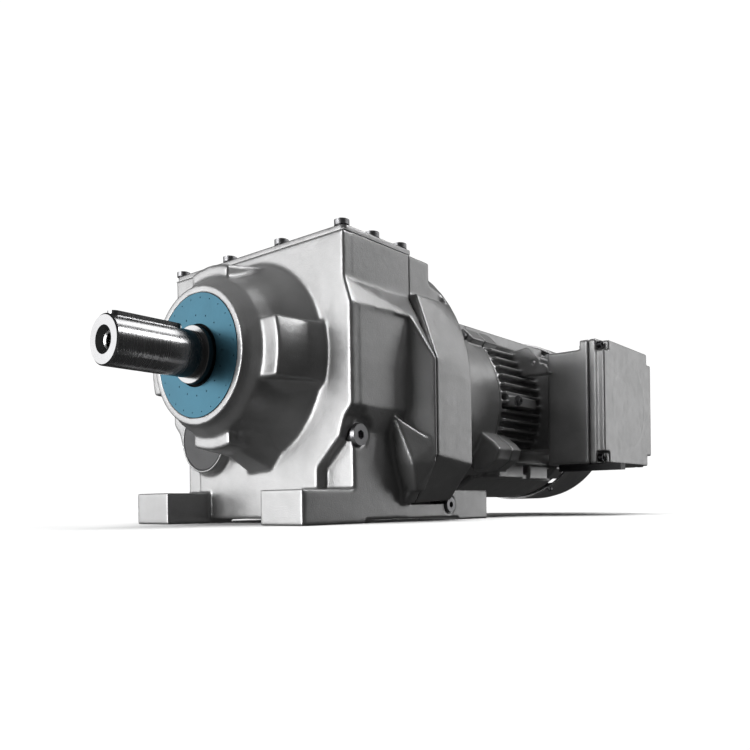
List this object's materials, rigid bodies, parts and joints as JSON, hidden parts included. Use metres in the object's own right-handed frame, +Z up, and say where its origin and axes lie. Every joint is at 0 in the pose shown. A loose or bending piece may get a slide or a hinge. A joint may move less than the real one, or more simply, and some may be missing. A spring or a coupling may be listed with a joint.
{
  "type": "inline gear reducer",
  "caption": "Foot-mounted inline helical gear reducer with a keyed output shaft, an octagonal adapter and a finned electric motor with a side terminal box.",
  "frame": {"origin": "centre of the four foot bolts, on the face that the feet stand on", "axes": "+Z up, the output shaft points along -Y, the motor is at +Y and the terminal box is on the +X side"},
  "size_m": [0.434, 0.909, 0.3135],
  "materials": {
    "housing_paint": "silver-grey machine paint over cast iron",
    "motor_paint": "dark grey machine paint over cast aluminium",
    "seal_rubber": "matt black",
    "blue_plate": "blue anodised, turned",
    "cap_paint": "grey, pressed steel",
    "ground_steel": "ground and polished",
    "gear_steel": "ground, oiled",
    "zinc_steel": "zinc plated",
    "bearing_steel": "polished",
    "core_steel": "stacked laminations",
    "copper_winding": "varnished copper wire",
    "brass_studs": "plain",
    "board_plastic": "moulded",
    "black_plate": "black satin paint",
    "black_plastic": "moulded",
    "dark_screws": "blackened"
  },
  "bodies": {
    "casing": {"gear_housing": "housing_paint", "cover_gasket": "seal_rubber", "housing_cover": "housing_paint", "cover_screws": "zinc_steel", "seal_cover_plate": "blue_plate", "output_oil_seal": "seal_rubber", "bore_cap": "cap_paint", "oil_level_plug": "zinc_steel", "oil_drain_plug": "zinc_steel", "output_bearing_outer_rings": "bearing_steel", "mid_bearing_outer_rings": "bearing_steel", "adapter_gasket": "seal_rubber", "adapter_housing": "housing_paint", "adapter_screws": "zinc_steel", "motor_shaft_seal": "seal_rubber", "motor_bearing_outer_rings": "bearing_steel", "drive_end_neck": "motor_paint", "stator_frame": "motor_paint", "frame_screws": "zinc_steel", "stator_core": "core_steel", "winding_heads": "copper_winding", "fan_end_shield": "motor_paint", "wave_spring": "zinc_steel", "fan_cowl": "motor_paint", "cowl_screws": "zinc_steel", "earth_screw": "zinc_steel", "terminal_box_base": "motor_paint", "box_seal": "seal_rubber", "box_screws": "zinc_steel", "lid_gasket": "seal_rubber", "terminal_box_lid": "motor_paint", "lid_screws": "dark_screws", "terminal_board": "board_plastic", "terminal_studs": "brass_studs", "cable_entry_plate": "black_plate", "blanking_plugs": "black_plastic"},
    "output_rotor": {"output_shaft": "ground_steel", "output_key": "ground_steel", "output_gear": "gear_steel", "output_gear_key": "ground_steel", "output_snap_rings": "zinc_steel", "output_bearing_inner_rings": "bearing_steel", "output_bearing_balls": "bearing_steel"},
    "intermediate_rotor": {"mid_shaft": "gear_steel", "mid_gear": "gear_steel", "mid_gear_key": "ground_steel", "mid_snap_rings": "zinc_steel", "mid_bearing_inner_rings": "bearing_steel", "mid_bearing_balls": "bearing_steel"},
    "motor_rotor": {"rotor_shaft": "ground_steel", "motor_pinion": "gear_steel", "pinion_nut": "zinc_steel", "pinion_key": "ground_steel", "rotor_core": "core_steel", "motor_bearing_inner_rings": "bearing_steel", "motor_bearing_balls": "bearing_steel", "cooling_fan": "black_plastic", "fan_snap_ring": "zinc_steel"}
  },
  "joints": [
    {"name": "output_spin", "type": "hinge", "parent": "casing", "child": "output_rotor", "pos_m": [0, -0.1, 0.18], "axis": [0, 1, 0], "continuous": true},
    {"name": "intermediate_spin", "type": "hinge", "parent": "casing", "child": "intermediate_rotor", "pos_m": [-0.076, -0.05, 0.099], "axis": [0, 1, 0], "continuous": true},
    {"name": "motor_spin", "type": "hinge", "parent": "casing", "child": "motor_rotor", "pos_m": [0, 0.3, 0.16], "axis": [0, 1, 0], "continuous": true}
  ],
  "couplings": [
    {"joint": "intermediate_spin", "follows": "output_spin", "ratio": -4.1429},
    {"joint": "motor_spin", "follows": "output_spin", "ratio": 8.0268}
  ]
}
